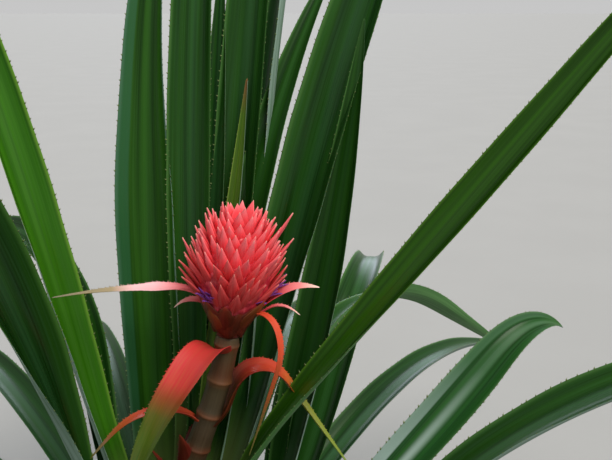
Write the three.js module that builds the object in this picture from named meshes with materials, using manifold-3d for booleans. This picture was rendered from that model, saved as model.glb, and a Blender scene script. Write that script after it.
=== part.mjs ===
// A red pineapple plant in flower, rooted in the ground. A short stout stem carries a rosette of long
// channelled leaves, and from its top a bare stalk leans out to a spiny red head of bracts.
// Millimetres and degrees, +Z up. The origin is the middle of the flat cut at ground level, -Y is the front
// and +X the right. A heading of 0 points to the right and 90 to the back. A lean is measured from upright.
import * as THREE from "three";
import { mergeVertices } from "three/addons/utils/BufferGeometryUtils.js";
import Module from "manifold-3d";

const wasm = await Module();
wasm.setup();

// Driving dimensions
const CLEARANCE = 0.3; // between any two pieces that meet
const EDGE_MARGINS = 3; // how many times that a blade's sharp edges keep clear
const SLIVER = 0.03; // the finest detail that a cut leaves
const GOLDEN_ANGLE = 137.508; // turn from one bract of the head to the next

const STEM = {
  height: 205,
  flareRadius: 44,
  radius: 33,
  topRadius: 13,
  flareHeight: 30,
  taper: 2.2, // how late it narrows, as a power of the height
  dome: 1, // rise of the top from its rim to its middle
  facets: 20,
  rings: 10,
};

const STALK = {
  foot: new THREE.Vector3(-6, 0, 185), // inside the top of the stem
  footRadius: 13.5,
  topRadius: 11.5,
  footLean: 21,
  facets: 10,
  rings: 20,
  nodes: 5, // swellings that the bracts grow from
  nodeSwell: 0.9,
  nodeSharpness: 8,
};

const HEAD = {
  base: new THREE.Vector3(61, 0, 422), // where the stalk ends and the head begins
  lean: 7.5, // to the right
  height: 124,
  radius: 34, // of the fleshy core
  footRadius: 13,
  widestAt: 0.48, // share of the height
  footCurve: 1.3, // powers of the core's outline below and above its widest part
  topCurve: 2.4,
  facets: 14,
  rings: 9,
};

const HEAD_BRACTS = {
  count: 96,
  lowest: 20,
  highest: 119,
  leans: [46, 14], // from the head's axis, at the bottom and at the top
  leanCurve: 1.1,
  tipLean: 0.95, // of the lean, because they curve upward
  lengths: [46, 20],
  widths: [14, 9.5],
  thickness: 3.4,
  rootDepth: 4, // sunk into the core
};

// The flowers that are open, low on the head: each one's height up the core and its heading.
const FLOWERS = {
  places: [[44, 205], [42, 228], [56, 352], [60, 8], [46, 330], [48, 80], [40, 140]],
  length: 27,
  width: 5,
  lean: 62,
};

const BLADE = {
  risenAt: 0.3, // share of the length at which a blade has turned from its foot's lean to its risen lean
  neckAt: 0.13, // where it is narrowest, above the sheath
  thinsFrom: 0.6, // where it begins to thin out to the tip
  twistFrom: 0.08,
  twistOver: 0.6,
  channelFrom: 46, // half the turn of the channelled section, at the sheath
  channelTo: 28, // and along the blade
  channelBy: 0.25,
  flankSlope: 0.75, // of the section's outermost faces, as a share of that half turn
  crowding: 0.4, // how much closer together the stations are at the foot
  substeps: 4, // of the centre line between two stations
};

const LEAF = {
  sides: 6, // round the section: two edges, two on the channel's floor and two below
  stations: 12,
  footRadius: 22, // of the foot's middle from the stem's axis, inside the stem
  footShare: 0.7, // which is no more than this share of the stem's own radius there
  sheath: 58, // width of the foot that clasps the stem
  sheathShare: 1.3, // which is no more than this many times the leaf's own width
  neck: 0.7, // width of the neck, as a share of the full width
  fullAt: 0.42, // where a leaf is widest
  taper: 2,
  arch: [0.3, 1.2],
  thickness: 0.01, // of the length
  footThickness: 4.5,
  tipWidth: 3,
  tipThickness: 2,
};

// The leaves that stand round the stalk, from the innermost out. Leans are at the foot, once risen and at the
// tip, and arch is the share of the length over which the blade bends from the second to the third. A leaf
// that folds far over is in two parts, which meet where it is highest.
const STANDING_LEAVES = [
  { name: "heart_leaf_1", foot: 184, heading: 49, leans: [20, 13, 7], length: 500, width: 28 },
  { name: "heart_leaf_2", foot: 168, heading: 66, leans: [22, 9.6, 6], length: 654, width: 38 },
  { name: "heart_leaf_3", foot: 156, heading: 44, leans: [24, 10, 40], length: 700, width: 47, twist: 21 },
  { name: "back_leaf_1", foot: 140, heading: 79, sweep: -30, leans: [17, 3, 16], length: 1000, width: 50,
    twist: 20 },
  { name: "back_leaf_2", foot: 130, heading: 56, sweep: -10, leans: [22, 7.4, 10], length: 1050, width: 53,
    twist: 25 },
  { name: "back_leaf_3", foot: 120, heading: 37, leans: [26, 17, 35], length: 1050, width: 71, twist: 29 },
  { name: "back_leaf_4", foot: 108, heading: 118, sweep: -75, leans: [21, 3.3, 28], length: 1000, width: 66,
    neck: 0.88, taper: 1.1 },
  { name: "back_leaf_5", foot: 90, heading: 52, sweep: -8, leans: [28, 8, 21], length: 1100, width: 48,
    twist: -27 },
  { name: "back_leaf_6", foot: 84, heading: 25, sweep: 12, leans: [55, 14, 6], length: 700, width: 57,
    twist: 22 },
  { name: "right_leaf_1", foot: 100, heading: 359, leans: [12, 37, 42], length: 1000, width: 51, neck: 0.75,
    twist: 40 },
  { name: "left_leaf_1", foot: 100, heading: 180, sweep: -30, leans: [16, 13, 28], length: 1000, width: 50,
    neck: 0.83, twist: -25 },
  { name: "left_leaf_2", foot: 72, heading: 216, leans: [23, 15, 40], length: 900, width: 66, neck: 0.75,
    twist: -80 },
  { name: "left_leaf_3", foot: 60, heading: 163, sweep: -30, leans: [28, 6, 160], arch: [0.42, 0.95],
    length: 740, width: 38, twist: -30, folded: true },
  { name: "left_leaf_4", foot: 36, heading: 215, leans: [48, 38, 90], arch: [0.3, 1], length: 700, width: 42 },
  { name: "right_leaf_2", foot: 56, heading: 29, sweep: 70, leans: [60, 30, 140], arch: [0.38, 1], length: 750,
    width: 54, folded: true },
  { name: "right_leaf_3", foot: 50, heading: 38, leans: [57, 11, 123], arch: [0.3, 0.79], length: 769,
    width: 56, twist: -26, folded: true },
  { name: "right_leaf_4", foot: 44, heading: 16, sweep: 16, leans: [68, 49, 160], arch: [0.77, 1.14],
    length: 603, width: 57, twist: 34, fullAt: 0.6, taper: 3 },
  { name: "right_leaf_5", foot: 40, heading: 343, sweep: -9, leans: [58, 38, 88], arch: [0.3, 1.1],
    length: 900, width: 50 },
  { name: "right_leaf_6", foot: 30, heading: 326, sweep: -6, leans: [62, 46, 110], arch: [0.3, 1.1],
    length: 850, width: 52 },
];

// The leaves that arch low over the ground, in front, at the left and at the back. Each has its foot's height
// and its heading, and the lower its foot, the further it spreads.
const LOW_LEAVES = {
  places: [
    [150, 262], [128, 300], [118, 238], [92, 278], [76, 312], [66, 252], [46, 158], [60, 184], [60, 100],
    [46, 290], [40, 76], [36, 134], [26, 236], [24, 50], [24, 172], [22, 268], [20, 306], [20, 112], [20, 354],
  ],
  highest: 150,
  lowest: 20,
  risenLean: [46, 65], // of the highest leaf and of the lowest
  footRise: [14, 8], // how much more upright the foot stands than that
  tipLean: [116, 114],
  arch: [0.25, 1],
  length: [720, 860],
  width: [44, 52],
};

const STALK_BRACT = {
  rootDepth: 5.75, // of the root from the stalk's middle line
  sweep: 0,
  twist: 0,
  arch: [0.2, 0.8],
  neck: 0.95,
  fullAt: 0.2,
  taper: 1.2,
  widestSheath: 22,
  thickness: 2.5,
  tipWidth: 1.5,
  tipThickness: 1.5,
  sides: 6,
  stations: 8,
};

// The bracts along the stalk: the share of the stalk at which they grow, and their heading there.
const STALK_BRACTS = [
  { name: "stalk_bract_1", at: 0.92, heading: 238, sweep: -8, leans: [42, 120, 158], length: 240, width: 34,
    fullAt: 0.42, taper: 2 },
  { name: "stalk_bract_2", at: 0.58, heading: 200, leans: [55, 88, 130], length: 150, width: 16 },
  { name: "stalk_bract_3", at: 0.54, heading: 8, leans: [12, 12, 140], arch: [0.14, 0.46], length: 280,
    width: 34 },
  { name: "stalk_bract_4", at: 0.34, heading: 262, leans: [8, 14, 30], length: 62, width: 22 },
  { name: "stalk_bract_5", at: 0.2, heading: 190, leans: [8, 14, 30], length: 70, width: 24 },
  { name: "stalk_bract_6", at: 0.3, heading: 80, leans: [30, 60, 150], length: 150, width: 22 },
];

// A blade that grows from the head's core.
const CORE_BRACT = {
  sweep: 0,
  twist: 0,
  arch: [0.2, 1],
  neck: 1,
  fullAt: 0.3,
  taper: 1.5,
  sheathShare: 0.7,
  tipWidth: 1,
  tipThickness: 0.8,
  sides: 4,
  stations: 2,
};

// The long bracts under the head: their height up its core, and their heading there.
const COLLAR_BRACT = { thickness: 2.6, rootDepth: 5, arch: [0.3, 1], tipWidth: 1.2, sides: 6, stations: 7 };
const COLLAR_BRACTS = [
  { name: "collar_bract_1", height: 34, heading: 191, leans: [52, 94, 104], length: 152, width: 17 },
  { name: "collar_bract_2", height: 16, heading: 326, leans: [33, 123, 191], arch: [0.09, 0.53],
    length: 202, width: 10 },
  { name: "collar_bract_3", height: 30, heading: 352, leans: [56, 41, 89], length: 77, width: 13 },
  { name: "collar_bract_4", height: 24, heading: 342, leans: [72, 45, 116], length: 61, width: 9 },
  { name: "collar_bract_5", height: 21, heading: 168, leans: [10, 84, 138], length: 52, width: 10 },
  { name: "collar_bract_6", height: 20, heading: 110, leans: [58, 80, 100], length: 38, width: 11 },
  { name: "collar_bract_7", height: 13, heading: 55, leans: [60, 90, 120], length: 36, width: 10 },
  { name: "collar_bract_8", height: 26, heading: 140, leans: [50, 62, 90], length: 34, width: 10 },
];

const LOOKS = {
  stem: { color: 0x6f5a3e, roughness: 0.85 },
  stalk: { color: 0x7d6450, roughness: 0.7 },
  head: { color: 0xe0475a, roughness: 0.45 },
  collarBract: { color: 0xdf5a63, roughness: 0.5 },
  stalkBract: { color: 0xcf4c48, roughness: 0.5 },
  leaf: { color: 0x2f6b2c, roughness: 0.5 },
  lowLeaf: { color: 0x2a5a2a, roughness: 0.5 },
};

const deg = THREE.MathUtils.degToRad;
const mix = THREE.MathUtils.lerp;
const smooth = (x) => THREE.MathUtils.smoothstep(x, 0, 1);

// Solids and meshes

// A closed three.js geometry as a solid.
function solidOf(geometry) {
  geometry.deleteAttribute("normal");
  geometry.deleteAttribute("uv");
  const merged = mergeVertices(geometry);
  const vertProperties = new Float32Array(merged.attributes.position.array);
  const triVerts = new Uint32Array(merged.index.array);
  return new wasm.Manifold(new wasm.Mesh({ numProp: 3, vertProperties, triVerts }));
}

// The largest of a solid's separate bodies, without the scraps that a cut leaves.
function largestBody(solid) {
  const bodies = solid.decompose();
  return bodies.reduce((largest, body) => (body.volume() > largest.volume() ? body : largest));
}

function meshOf(name, solid, look) {
  const { vertProperties, triVerts } = largestBody(solid.simplify(SLIVER)).getMesh();
  const geometry = new THREE.BufferGeometry();
  geometry.setAttribute("position", new THREE.BufferAttribute(vertProperties, 3));
  geometry.setIndex(new THREE.BufferAttribute(triVerts, 1));
  geometry.computeVertexNormals();
  const mesh = new THREE.Mesh(geometry, new THREE.MeshStandardMaterial({ ...look, metalness: 0 }));
  mesh.name = name;
  return mesh;
}

// Moves every vertex of an upright cylinder of unit radius and height: place(across, over, share) gives the
// new point of a vertex that lay at those two distances off the axis, at that share of the height.
function bendCylinder(sides, rings, place) {
  const geometry = new THREE.CylinderGeometry(1, 1, 1, sides, rings);
  const position = geometry.attributes.position;
  for (let i = 0; i < position.count; i++) {
    const point = place(position.getZ(i), position.getX(i), position.getY(i) + 0.5);
    position.setXYZ(i, point.x, point.y, point.z);
  }
  return geometry;
}

// Blades, the one rule for every leaf and bract

function directionAt(heading, lean) {
  const flat = Math.sin(deg(lean));
  return new THREE.Vector3(flat * Math.cos(deg(heading)), flat * Math.sin(deg(heading)), Math.cos(deg(lean)));
}

// The blade's heading and lean at a share of its length.
function courseAt(blade, share) {
  const [footLean, risenLean, tipLean] = blade.leans;
  const [archFrom, archTo] = blade.arch;
  const risen = mix(footLean, risenLean, smooth(share / BLADE.risenAt));
  const arched = (tipLean - risenLean) * smooth((share - archFrom) / (archTo - archFrom));
  return { heading: blade.heading + blade.sweep * share, lean: risen + arched };
}

// The blade's width: a broad sheath, a neck, the full width at mid-length and a long taper to the tip.
function widthAt(blade, share) {
  const neck = blade.neck * blade.width;
  if (share < BLADE.neckAt) return mix(blade.sheath, neck, smooth(share / BLADE.neckAt));
  if (share < blade.fullAt) {
    return mix(neck, blade.width, smooth((share - BLADE.neckAt) / (blade.fullAt - BLADE.neckAt)));
  }
  return mix(blade.width, blade.tipWidth, ((share - blade.fullAt) / (1 - blade.fullAt)) ** blade.taper);
}

function thicknessAt(blade, share) {
  const full = mix(blade.footThickness, blade.thickness, smooth(share / BLADE.neckAt - 1));
  return mix(full, blade.tipThickness, smooth((share - BLADE.thinsFrom) / (1 - BLADE.thinsFrom)));
}

// The blade's frames from its foot to its tip: the middle of each section, the way across it and the way
// out of its channelled face, turned about the centre line by the blade's twist.
function sectionsOf(blade) {
  const sections = [];
  const middle = blade.root.clone();
  let last = 0;
  for (let k = 0; k <= blade.stations; k++) {
    const even = k / blade.stations;
    const share = mix(even, even * even, BLADE.crowding);
    const step = ((share - last) * blade.length) / BLADE.substeps;
    for (let i = 0; i < BLADE.substeps; i++) {
      const course = courseAt(blade, mix(last, share, (i + 0.5) / BLADE.substeps));
      middle.addScaledVector(directionAt(course.heading, course.lean), step);
    }
    last = share;
    const { heading, lean } = courseAt(blade, share);
    const along = directionAt(heading, lean);
    const twist = deg(blade.twist * smooth((share - BLADE.twistFrom) / BLADE.twistOver));
    const across = directionAt(heading + 90, 90).applyAxisAngle(along, twist);
    sections.push({
      middle: middle.clone(),
      across,
      out: along.clone().cross(across),
      halfTurn: deg(mix(BLADE.channelFrom, BLADE.channelTo, smooth(share / BLADE.channelBy))),
      width: widthAt(blade, share),
      thickness: thicknessAt(blade, share),
    });
  }
  return sections;
}

// A blade as a solid. Its section is an arc as wide as the blade, thickest in the middle and sharp
// at both edges. margin makes it larger all round, for cutting its neighbours clear of it.
function bladeSolid(blade, margin = 0) {
  const sections = sectionsOf(blade);
  const thickest = blade.sides === 4 ? 1 : Math.cos(Math.PI / blade.sides);
  return solidOf(bendCylinder(blade.sides, blade.stations, (across, over, share) => {
    const section = sections[Math.round(share * blade.stations)];
    const radius = section.width / 2 / section.halfTurn;
    const turn = section.halfTurn * across;
    const flank = BLADE.flankSlope * turn;
    const beyond = EDGE_MARGINS * margin * across;
    const half = (section.thickness / 2 + margin) * (over / thickest);
    return section.middle.clone()
      .addScaledVector(section.across, (radius - half) * Math.sin(turn) + beyond * Math.cos(flank))
      .addScaledVector(section.out, radius - (radius - half) * Math.cos(turn) + beyond * Math.sin(flank));
  }));
}

// Stem and stalk

// The stem's radius at a height: a flared foot, a straight trunk and a cone that the heart leaves clasp.
function stemRadius(z) {
  if (z < STEM.flareHeight) return mix(STEM.flareRadius, STEM.radius, smooth(z / STEM.flareHeight));
  const up = (z - STEM.flareHeight) / (STEM.height - STEM.flareHeight);
  return mix(STEM.radius, STEM.topRadius, up ** STEM.taper);
}

function stemSolid(margin = 0) {
  const points = [new THREE.Vector2(0, -margin)];
  for (let k = 0; k <= STEM.rings; k++) {
    const z = (k / STEM.rings) * STEM.height;
    points.push(new THREE.Vector2(stemRadius(z) + margin, k === 0 ? -margin : z));
  }
  points.push(new THREE.Vector2(STEM.topRadius + margin, STEM.height + margin));
  points.push(new THREE.Vector2(0, STEM.height + margin + STEM.dome));
  return solidOf(new THREE.LatheGeometry(points, STEM.facets).rotateX(Math.PI / 2));
}

const headAxis = directionAt(0, HEAD.lean);

// The middle line of the stalk, from inside the stem to the head, leaning out and then straightening.
const stalkTop = HEAD.base.clone().addScaledVector(headAxis, -CLEARANCE);
const stalkReach = stalkTop.distanceTo(STALK.foot) / 3;
const stalkLine = new THREE.CubicBezierCurve3(
  STALK.foot,
  STALK.foot.clone().addScaledVector(directionAt(0, STALK.footLean), stalkReach),
  stalkTop.clone().addScaledVector(headAxis, -stalkReach),
  stalkTop,
);

function stalkRadius(share) {
  const swelling = Math.cos(Math.PI * share * STALK.nodes) ** STALK.nodeSharpness;
  return mix(STALK.footRadius, STALK.topRadius, share) + STALK.nodeSwell * swelling;
}

function stalkSolid(margin = 0) {
  return solidOf(bendCylinder(STALK.facets, STALK.rings, (side, front, share) => {
    const radius = stalkRadius(share) + margin;
    const along = stalkLine.getTangentAt(share);
    const right = new THREE.Vector3(along.z, 0, -along.x);
    return stalkLine.getPointAt(share)
      .addScaledVector(right, side * radius)
      .addScaledVector(new THREE.Vector3(0, 1, 0), front * radius);
  }));
}

// Head, in its own upright frame with its origin at its foot

function coreRadius(z) {
  const up = z / HEAD.height;
  if (up < HEAD.widestAt) {
    const filled = Math.sin(((up / HEAD.widestAt) * Math.PI) / 2) ** HEAD.footCurve;
    return mix(HEAD.footRadius, HEAD.radius, filled);
  }
  const over = (up - HEAD.widestAt) / (1 - HEAD.widestAt);
  return HEAD.radius * Math.sqrt(Math.max(0, 1 - over ** HEAD.topCurve));
}

function coreSolid(margin = 0) {
  const points = [new THREE.Vector2(0, -margin)];
  for (let k = 0; k < HEAD.rings; k++) {
    const z = (k / HEAD.rings) * HEAD.height;
    points.push(new THREE.Vector2(coreRadius(z) + margin, k === 0 ? -margin : z));
  }
  points.push(new THREE.Vector2(0, HEAD.height + margin));
  return solidOf(new THREE.LatheGeometry(points, HEAD.facets).rotateX(Math.PI / 2));
}

// A short blade that stands out of the core at a height and a heading, its root sunk in.
function coreBlade(z, heading, sizes) {
  const depth = Math.max(0, coreRadius(z) - sizes.rootDepth);
  return {
    ...CORE_BRACT,
    root: directionAt(heading, 90).multiplyScalar(depth).setZ(z),
    heading,
    sheath: CORE_BRACT.sheathShare * sizes.width,
    footThickness: sizes.thickness,
    ...sizes,
  };
}

function headBracts() {
  const bracts = [];
  for (let i = 0; i < HEAD_BRACTS.count; i++) {
    const up = i / (HEAD_BRACTS.count - 1);
    const lean = mix(...HEAD_BRACTS.leans, up ** HEAD_BRACTS.leanCurve);
    bracts.push(coreBlade(mix(HEAD_BRACTS.lowest, HEAD_BRACTS.highest, up), i * GOLDEN_ANGLE, {
      leans: [lean, lean, lean * HEAD_BRACTS.tipLean],
      length: mix(...HEAD_BRACTS.lengths, up),
      width: mix(...HEAD_BRACTS.widths, up),
      thickness: HEAD_BRACTS.thickness,
      rootDepth: HEAD_BRACTS.rootDepth,
    }));
  }
  return bracts;
}

function flowers() {
  return FLOWERS.places.map(([z, heading]) => coreBlade(z, heading, {
    leans: [FLOWERS.lean, FLOWERS.lean, FLOWERS.lean],
    length: FLOWERS.length,
    width: FLOWERS.width,
    thickness: FLOWERS.width,
    rootDepth: HEAD_BRACTS.rootDepth,
  }));
}

// The head in one body: its bracts and flowers, cut clear of the collar's bracts, on the core.
function headSolid(collarBlades) {
  const spines = wasm.Manifold.union([...headBracts(), ...flowers()].map((blade) => bladeSolid(blade)));
  const collar = wasm.Manifold.union(collarBlades.map((blade) => bladeSolid(blade, CLEARANCE)));
  return spines.subtract(collar).add(coreSolid());
}

// Leaves and bracts, each cut clear of what it grows from and of the blades that stand nearer the middle

function leafBlade(leaf) {
  const depth = Math.min(LEAF.footRadius, LEAF.footShare * stemRadius(leaf.foot));
  return {
    ...LEAF,
    root: directionAt(leaf.heading, 90).multiplyScalar(depth).setZ(leaf.foot),
    sweep: 0,
    twist: 0,
    ...leaf,
    sheath: Math.min(LEAF.sheath, LEAF.sheathShare * leaf.width),
    thickness: LEAF.thickness * leaf.length,
  };
}

function lowLeaves() {
  return LOW_LEAVES.places.map(([foot, heading], i) => {
    const down = (LOW_LEAVES.highest - foot) / (LOW_LEAVES.highest - LOW_LEAVES.lowest);
    const risenLean = mix(...LOW_LEAVES.risenLean, down);
    return {
      name: `low_leaf_${i + 1}`,
      foot,
      heading,
      leans: [risenLean - mix(...LOW_LEAVES.footRise, down), risenLean, mix(...LOW_LEAVES.tipLean, down)],
      arch: LOW_LEAVES.arch,
      length: mix(...LOW_LEAVES.length, down),
      width: mix(...LOW_LEAVES.width, down),
      look: LOOKS.lowLeaf,
    };
  });
}

function stalkBractBlade(bract) {
  const side = directionAt(bract.heading, 90);
  return {
    ...STALK_BRACT,
    root: stalkLine.getPointAt(bract.at).addScaledVector(side, STALK_BRACT.rootDepth),
    sheath: Math.min(STALK_BRACT.widestSheath, bract.width),
    footThickness: STALK_BRACT.thickness,
    look: LOOKS.stalkBract,
    ...bract,
  };
}

function collarBractBlade(bract) {
  return coreBlade(bract.height, bract.heading, { ...COLLAR_BRACT, ...bract });
}

// Cuts each blade clear of its holders and of every blade before it in the list.
function cutClear(blades, holders) {
  const grown = blades.map((blade) => bladeSolid(blade, CLEARANCE));
  return blades.map((blade, i) => {
    let solid = bladeSolid(blade);
    for (const holder of [...holders, ...grown.slice(0, i)]) solid = solid.subtract(holder);
    return solid;
  });
}

// The parts of a folded blade's solid before and beyond its crest, parted square across the blade.
function partsOf(blade, solid) {
  if (!blade.folded) return [[blade.name, solid]];
  const higher = (a, b) => (b.middle.z > a.middle.z ? b : a);
  const crest = sectionsOf(blade).reduce(higher);
  const along = crest.across.clone().cross(crest.out);
  const distance = along.dot(crest.middle);
  const before = solid.trimByPlane(along.clone().negate().toArray(), CLEARANCE / 2 - distance);
  const beyond = solid.trimByPlane(along.toArray(), CLEARANCE / 2 + distance);
  return [[blade.name, before], [`${blade.name}_end`, beyond]];
}

const group = new THREE.Group();
group.add(meshOf("stem", stemSolid(), LOOKS.stem));
group.add(meshOf("stalk", stalkSolid().subtract(stemSolid(CLEARANCE)), LOOKS.stalk));

const leaves = [...STANDING_LEAVES, ...lowLeaves()].sort((a, b) => b.foot - a.foot);
const blades = [...STALK_BRACTS.map(stalkBractBlade), ...leaves.map(leafBlade)];
cutClear(blades, [stemSolid(CLEARANCE), stalkSolid(CLEARANCE)]).forEach((solid, i) => {
  for (const [name, part] of partsOf(blades[i], solid)) {
    group.add(meshOf(name, part, blades[i].look ?? LOOKS.leaf));
  }
});

const headGroup = new THREE.Group();
headGroup.position.copy(HEAD.base);
headGroup.rotation.y = deg(HEAD.lean);
const collarBlades = COLLAR_BRACTS.map(collarBractBlade);
headGroup.add(meshOf("head", headSolid(collarBlades), LOOKS.head));
cutClear(collarBlades, [coreSolid(CLEARANCE)]).forEach((solid, i) => {
  headGroup.add(meshOf(collarBlades[i].name, solid, LOOKS.collarBract));
});
group.add(headGroup);

export default group;
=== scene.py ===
from math import cos, radians, sin

import bpy
import numpy as np
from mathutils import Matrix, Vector


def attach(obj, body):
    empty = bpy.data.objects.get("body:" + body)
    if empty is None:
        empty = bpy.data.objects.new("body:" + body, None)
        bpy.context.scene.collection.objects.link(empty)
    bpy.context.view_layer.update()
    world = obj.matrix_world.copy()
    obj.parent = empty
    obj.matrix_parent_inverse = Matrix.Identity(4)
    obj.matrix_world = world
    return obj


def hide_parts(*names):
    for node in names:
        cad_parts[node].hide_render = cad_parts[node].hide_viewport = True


# A red pineapple plant in flower: toothed, channelled leaves round a bare stalk, and on it a spiny red head.
# Shapes are worked out in millimetres and degrees, by the rule that the solids follow, and stored in metres.
# A heading of 0 points to the right and 90 to the back, and a lean is measured from upright.
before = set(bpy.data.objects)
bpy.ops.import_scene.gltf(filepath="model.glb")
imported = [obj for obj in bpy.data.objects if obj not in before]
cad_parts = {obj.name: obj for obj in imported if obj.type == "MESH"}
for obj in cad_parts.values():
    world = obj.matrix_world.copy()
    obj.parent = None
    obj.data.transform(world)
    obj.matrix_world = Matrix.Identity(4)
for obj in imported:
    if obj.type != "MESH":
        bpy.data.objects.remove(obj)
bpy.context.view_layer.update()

MM = 0.001

# Camera
LOOKS_DOWN = 15
camera_data = bpy.data.cameras.new("camera")
camera_data.lens = 50
camera_data.sensor_width = 36
camera = bpy.data.objects.new("camera", camera_data)
camera.location = (0.141, -0.813, 0.751)
camera.rotation_euler = (radians(90 - LOOKS_DOWN), 0, 0)
bpy.context.scene.collection.objects.link(camera)
bpy.context.scene.camera = camera
bpy.context.scene.view_settings.view_transform = "Standard"

# Driving dimensions: the solids' own, but for some leaves and bracts that are bent, turned or narrowed a
# little more to follow the photo, and for what is only made here, such as rings, teeth and more scales
GOLDEN_ANGLE = 137.508
CLEARANCE = 0.3

STEM = dict(height=205, flare_radius=44, radius=33, top_radius=13, flare_height=30, taper=2.2,
            stations=160, columns=72, scar_depth=0.8, scar_height=5.5, scar_waves=3, scar_tilt=0.35)
STALK = dict(foot=(-6, 0, 185), foot_radius=13.5, top_radius=11.5, foot_lean=10, stations=200, columns=48,
             rings=6.06, ring_at=0.962, ring_swell=1.1, swell_power=8, rim=0.8, rim_power=160,
             ribs=16, rib_height=0.18)
HEAD = dict(base=(61, 0, 422), lean=7.5, height=124, radius=34, foot_radius=13, widest_at=0.48,
            foot_curve=1.3, top_curve=2.4)
CORE = dict(stations=110, columns=150, first=0.5, last=0.2, least_radius=0.3, swelling=2.4, swelling_radius=3.4,
            swelling_up=4, full_swelling_radius=12, drawn_in=1.5, drawn_in_below=24, drawn_in_over=12)

# The blade rule: places along a blade are shares of its length. A blade's leans are those of its foot, its
# risen part and its tip, and it arches over the stretch called arch. Its channel turns by so many degrees to
# each side of the middle, at the foot and beyond. Wave and fold are in millimetres on a blade of the half width
# given here, and a leaf's wing is the share of its margin that bends up.
RISEN_AT = 0.3
NECK_AT = 0.13
THINS_FROM = 0.6
TWIST_FROM = 0.08
TWIST_OVER = 0.6
ROUNDED_OVER = 0.2
CHANNEL = (46, 28)
CHANNEL_BY = 0.25
WING_FROM = 0.66
WINGED_BY = 0.2
WAVE_LENGTHS = (17, 41)
WAVE_STEP = 2
HALF_WIDTH = 25

# Teeth: where they begin and end, where they are fully grown, and the rings of one tooth and its tip, in shares
# of its reach out from the edge and ahead along it
TEETH = dict(first=0.12, last=0.975, grown_from=0.05, grown_over=0.2, shrink_from=0.6, end_size=0.45,
             sizes=(0.65, 1.15), size_step=0.618, place_step=0.381, place_play=0.6, side_shift=0.25, inner=0.9)
TOOTH_RINGS = [dict(out=-0.3, ahead=0, behind=0.6, before=0.6, side=0.22),
               dict(out=0.45, ahead=0.15, behind=0.3, before=0.22, side=0.14)]
TOOTH_TIP = dict(out=1, ahead=0.8)

# Stations along and columns round a blade of each kind
LEAF_MESH = (150, 28)
STALK_BRACT_MESH = (90, 28)
COLLAR_BRACT_MESH = (70, 20)
SCALE_MESH = (8, 8)
FUNNEL_MESH = (14, 12)
PETAL_MESH = (12, 8)

# How far apart the patterns of two blades start, so that no two blades look alike
LEAF_APART = 1700
BRACT_APART = 300

LEAF = dict(
    sweep=0, twist=0, neck=0.7, full_at=0.42, taper=2, arch=(0.3, 1.2), tip_width=3,
    foot_thickness=4.5, thickness=2.6, tip_thickness=1.0, keel=0, tooth=1.9, tooth_gap=8.5, wing=0.8, wave=1.2,
    fold=0.55, span=50, look="mature",
)
LEAF_FOOT_RADIUS = 22
LEAF_FOOT_SHARE = 0.7
LEAF_SHEATH = 58
LEAF_SHEATH_SHARE = 1.3

STANDING_LEAVES = [
    dict(name="heart_leaf_1", foot=184, heading=49, leans=(20, 13, 7), length=500, width=28, look="young"),
    dict(name="heart_leaf_2", foot=168, heading=66, leans=(22, 9.6, 6), length=654, width=38),
    dict(name="heart_leaf_3", foot=156, heading=44, leans=(24, 10, 40), length=700, width=47, twist=21,
         look="whole"),
    dict(name="back_leaf_1", foot=140, heading=79, sweep=-30, leans=(17, 3, 16), length=1000, width=50,
         twist=20),
    dict(name="back_leaf_2", foot=130, heading=56, sweep=-10, leans=(22, 7.4, 10), length=1050, width=53,
         twist=25),
    dict(name="back_leaf_3", foot=120, heading=37, leans=(26, 17, 35), length=1050, width=71, twist=29),
    dict(name="back_leaf_4", foot=108, heading=118, sweep=-75, leans=(21, 3.3, 28), length=1000, width=66,
         neck=0.88, taper=1.1, look="winged"),
    dict(name="back_leaf_5", foot=90, heading=52, sweep=-8, leans=(28, 8, 21), length=1100, width=48,
         twist=-27),
    dict(name="back_leaf_6", foot=84, heading=25, sweep=12, leans=(55, 14, 6), length=700, width=57, twist=22,
         look="whole"),
    dict(name="right_leaf_1", foot=100, heading=358, leans=(12.5, 37.6, 39.3), length=1000, width=39, neck=0.9,
         twist=60, look="olive", back="green"),
    dict(name="left_leaf_1", foot=100, heading=180, sweep=-30, leans=(16, 13, 28), length=1000, width=50,
         neck=0.83, twist=-25, look="bright"),
    dict(name="left_leaf_2", foot=72, heading=216, leans=(23, 15, 40), length=900, width=66, neck=0.75,
         twist=-80, look="shaded"),
    dict(name="left_leaf_3", foot=60, heading=163, sweep=-30, leans=(28, 6, 160), arch=(0.42, 0.95), length=740,
         width=38, twist=-30, folded=True),
    dict(name="left_leaf_4", foot=36, heading=215, leans=(48, 38, 90), arch=(0.3, 1), length=700, width=42),
    dict(name="right_leaf_2", foot=56, heading=29, sweep=70, leans=(60, 30, 140), arch=(0.38, 1), length=750,
         width=54, folded=True, back="green"),
    dict(name="right_leaf_3", foot=50, heading=38, leans=(57, 11, 123), arch=(0.3, 0.79), length=769, width=56,
         twist=-26, folded=True, back="green"),
    dict(name="right_leaf_4", foot=44, heading=16, sweep=16, leans=(68, 49, 160), arch=(0.77, 1.14), length=603,
         width=57, twist=34, full_at=0.6, taper=3, tooth=2.8, look="silvered"),
    dict(name="right_leaf_5", foot=40, heading=343, sweep=-9, leans=(58, 38, 88), arch=(0.3, 1.1), length=900,
         width=50, twist=24),
    dict(name="right_leaf_6", foot=30, heading=326, sweep=-6, leans=(62, 46, 110), arch=(0.3, 1.1), length=850,
         width=52, look="old"),
]

# Each place is the height of the foot and the heading
LOW_LEAVES = dict(
    places=[
        (150, 262), (128, 300), (118, 238), (92, 278), (76, 312), (66, 252), (46, 158), (60, 184), (60, 100),
        (46, 290), (40, 76), (36, 134), (26, 236), (24, 50), (24, 172), (22, 268), (20, 306), (20, 112),
        (20, 354),
    ],
    highest=150, lowest=20, risen_lean=(46, 65), foot_rise=(14, 8), tip_lean=(116, 114), arch=(0.25, 1),
    length=(720, 860), width=(44, 52),
)

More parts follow.
